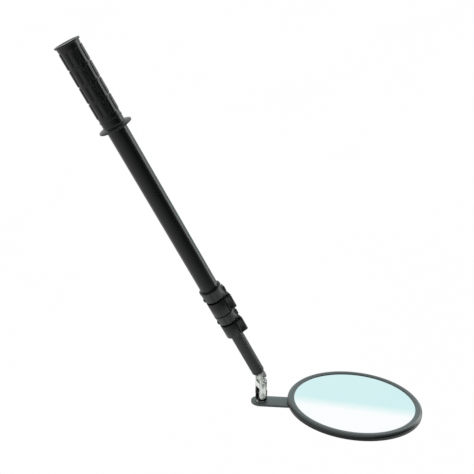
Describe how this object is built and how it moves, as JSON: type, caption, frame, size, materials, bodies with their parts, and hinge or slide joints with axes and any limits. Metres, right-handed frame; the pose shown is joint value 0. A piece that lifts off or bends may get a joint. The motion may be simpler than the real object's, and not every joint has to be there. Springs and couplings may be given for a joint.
{
  "type": "telescoping inspection mirror",
  "caption": "Hand-held round inspection mirror on a three-section telescoping pole with flip locks, a moulded grip and a swivelling steel linkage.",
  "frame": {"origin": "centre of the grip's butt face, on the pole's axis", "axes": "+Z along the pole from the mirror end to the butt; the mirror stands out towards +X; the linkage's hinge pins lie along Y"},
  "size_m": [0.2119, 0.2, 0.692],
  "materials": {
    "grip_rubber": "glossy moulded rubber",
    "tube_black": "satin black powder coat",
    "inner_tube_black": "matt black coat",
    "bush_nylon": "natural nylon",
    "lock_plastic": "satin moulded nylon",
    "cap_plastic": "satin moulded cap",
    "black_screw": "black oxide",
    "steel_hardware": "zinc plated",
    "bright_steel": "bright plated, lightly brushed",
    "bracket_black": "gloss black coat",
    "arm_black": "satin black coat",
    "shell_plastic": "fine grain moulded",
    "foam": "closed cell foam",
    "mirror": "silvered glass",
    "bezel_rubber": "satin rubber rim"
  },
  "bodies": {
    "handle": {"grip": "grip_rubber", "outer_tube": "tube_black", "upper_lock_collar": "lock_plastic", "upper_lock_screw": "black_screw", "upper_lock_bolt": "steel_hardware", "upper_lock_nut": "steel_hardware", "upper_lock_pin": "steel_hardware"},
    "upper_lever": {"upper_lock_lever": "lock_plastic"},
    "middle_section": {"mid_tube": "tube_black", "mid_tube_bush": "bush_nylon", "lower_lock_collar": "lock_plastic", "lower_lock_screw": "black_screw", "lower_lock_bolt": "steel_hardware", "lower_lock_nut": "steel_hardware", "lower_lock_pin": "steel_hardware"},
    "lower_lever": {"lower_lock_lever": "lock_plastic"},
    "inner_section": {"inner_tube": "inner_tube_black", "inner_tube_bush": "bush_nylon", "end_cap": "cap_plastic", "swivel_screw": "steel_hardware", "swivel_washer": "steel_hardware", "swivel_nut": "steel_hardware"},
    "fork": {"fork": "bright_steel"},
    "link": {"front_link_plate": "bright_steel", "rear_link_plate": "bright_steel", "upper_pivot_screw": "steel_hardware", "upper_pivot_nut": "steel_hardware", "lower_pivot_screw": "steel_hardware", "lower_pivot_nut": "steel_hardware", "pivot_washers": "bush_nylon"},
    "bracket": {"mirror_bracket": "bracket_black", "arm_rivet": "black_screw", "arm_washer": "bush_nylon"},
    "mirror_head": {"mirror_arm": "arm_black", "arm_screws": "black_screw", "arm_nuts": "steel_hardware", "mirror_back": "shell_plastic", "foam_pad": "foam", "mirror_glass": "mirror", "bezel": "bezel_rubber"}
  },
  "joints": [
    {"name": "upper_lever_hinge", "type": "hinge", "parent": "handle", "child": "upper_lever", "pos_m": [0.0136, 0.0112, -0.402], "axis": [0, 0, 1], "range_deg": [0, 110]},
    {"name": "middle_slide", "type": "slide", "parent": "handle", "child": "middle_section", "axis": [0, 0, -1], "range_m": [0, 0.32]},
    {"name": "lower_lever_hinge", "type": "hinge", "parent": "middle_section", "child": "lower_lever", "pos_m": [0.0117, 0.0112, -0.444], "axis": [0, 0, 1], "range_deg": [0, 110]},
    {"name": "inner_slide", "type": "slide", "parent": "middle_section", "child": "inner_section", "axis": [0, 0, -1], "range_m": [-0.068, 0.29]},
    {"name": "fork_swivel", "type": "hinge", "parent": "inner_section", "child": "fork", "pos_m": [0, 0, -0.537], "axis": [0, 0, 1], "continuous": true},
    {"name": "link_tilt", "type": "hinge", "parent": "fork", "child": "link", "pos_m": [-0.0022, 0, -0.5492], "axis": [0, 1, 0], "range_deg": [-75, 15]},
    {"name": "bracket_tilt", "type": "hinge", "parent": "link", "child": "bracket", "pos_m": [-0.0142, 0, -0.56998], "axis": [0, 1, 0], "range_deg": [-40, 40]},
    {"name": "arm_swivel", "type": "hinge", "parent": "bracket", "child": "mirror_head", "pos_m": [-0.0197, 0, -0.57951], "axis": [0.5, 0, 0.866], "continuous": true}
  ]
}
